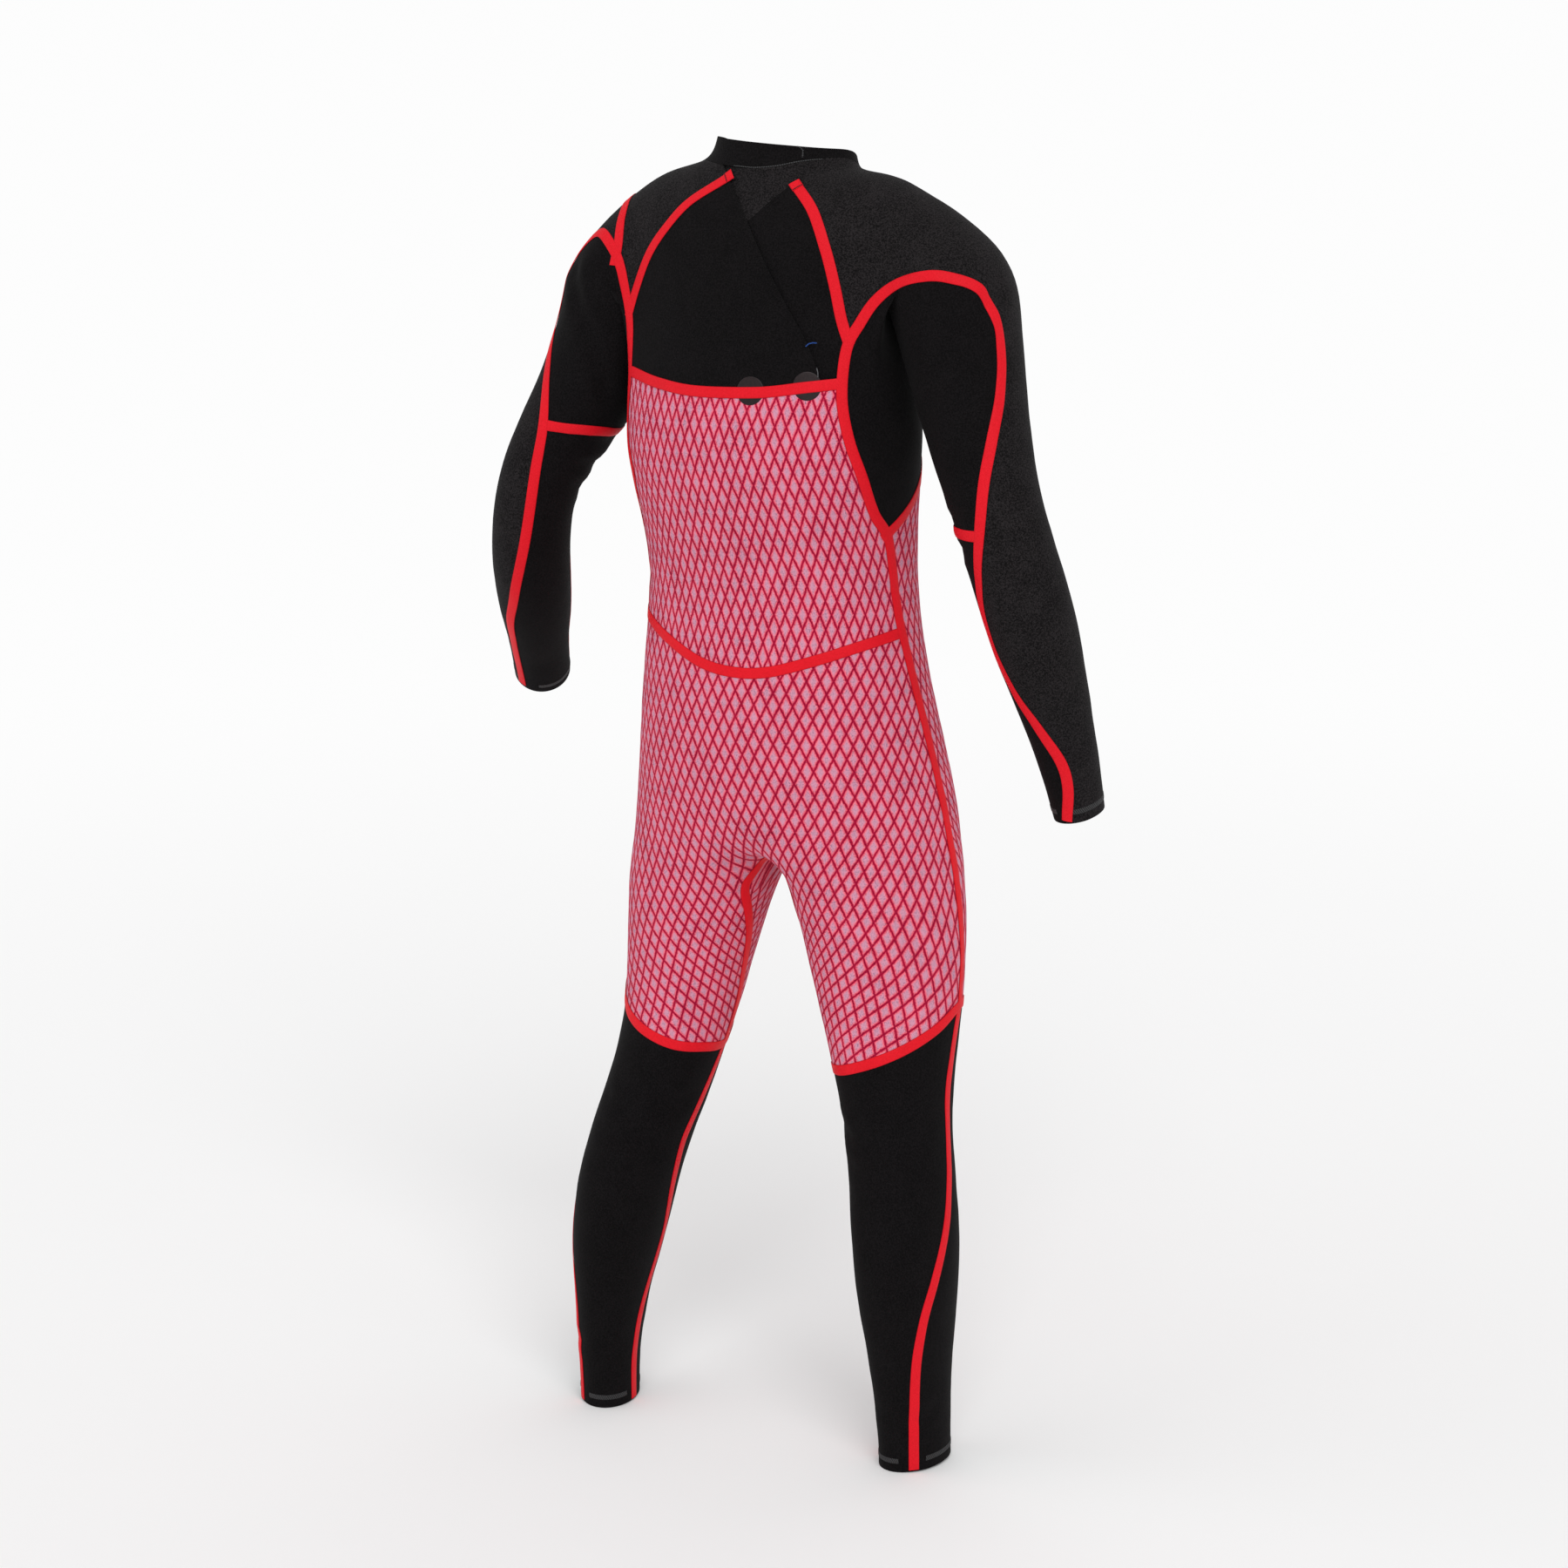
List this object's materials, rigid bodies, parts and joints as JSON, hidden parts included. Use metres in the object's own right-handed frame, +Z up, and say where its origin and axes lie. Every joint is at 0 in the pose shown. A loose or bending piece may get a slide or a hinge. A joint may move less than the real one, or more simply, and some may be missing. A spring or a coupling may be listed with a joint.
{
  "type": "steamer wetsuit",
  "caption": "Full-length foam rubber wetsuit turned inside out, worn pose: sewn panels, a diagonal lapped back closure, taped seams, low collar, open neck, cuffs and ankles.",
  "frame": {"origin": "middle of the neck's base, where the suit hangs from the wearer's shoulders", "axes": "+Z up along the trunk, +X to the wearer's left, +Y towards the wearer's back"},
  "size_m": [0.7646, 0.2754, 1.3928],
  "materials": {
    "black_lining": "matt black knitted lining over foam rubber",
    "shoulder_lining": "matt black knitted lining, a little lighter, over foam rubber",
    "lattice_lining": "pale pink heathered knit with crimson diamond lines over foam rubber",
    "seam_tape": "smooth bright red stretch tape, slightly shiny"
  },
  "bodies": {
    "root": {"collar": "black_lining", "yoke_flap": "black_lining", "yoke_under": "black_lining", "gusset_l": "black_lining", "gusset_r": "black_lining", "forearm_l": "black_lining", "forearm_r": "black_lining", "chest": "black_lining", "calf_l": "black_lining", "calf_r": "black_lining", "shin_l": "black_lining", "shin_r": "black_lining", "shoulder_l": "shoulder_lining", "sleeve_outer_l": "shoulder_lining", "sleeve_outer_r": "shoulder_lining", "back": "lattice_lining", "front": "lattice_lining", "seat": "lattice_lining", "tape_thigh_l": "seam_tape", "tape_thigh_r": "seam_tape", "tape_flank_l": "seam_tape", "tape_flank_r": "seam_tape", "tape_sleeve_l": "seam_tape", "tape_sleeve_r": "seam_tape", "tape_chest_back": "seam_tape", "tape_chest_front": "seam_tape", "tape_raglan_back_l": "seam_tape", "tape_raglan_front_l": "seam_tape", "tape_raglan_back_r": "seam_tape", "tape_raglan_front_r": "seam_tape", "tape_shoulder_l": "seam_tape", "tape_waist": "seam_tape", "tape_inseam": "seam_tape", "tape_elbow_l": "seam_tape", "tape_elbow_r": "seam_tape", "tape_shank_outer_l": "seam_tape", "tape_shank_inner_l": "seam_tape", "tape_shank_outer_r": "seam_tape", "tape_shank_inner_r": "seam_tape", "patch_l": "seam_tape", "patch_r": "seam_tape"}
  },
  "joints": []
}
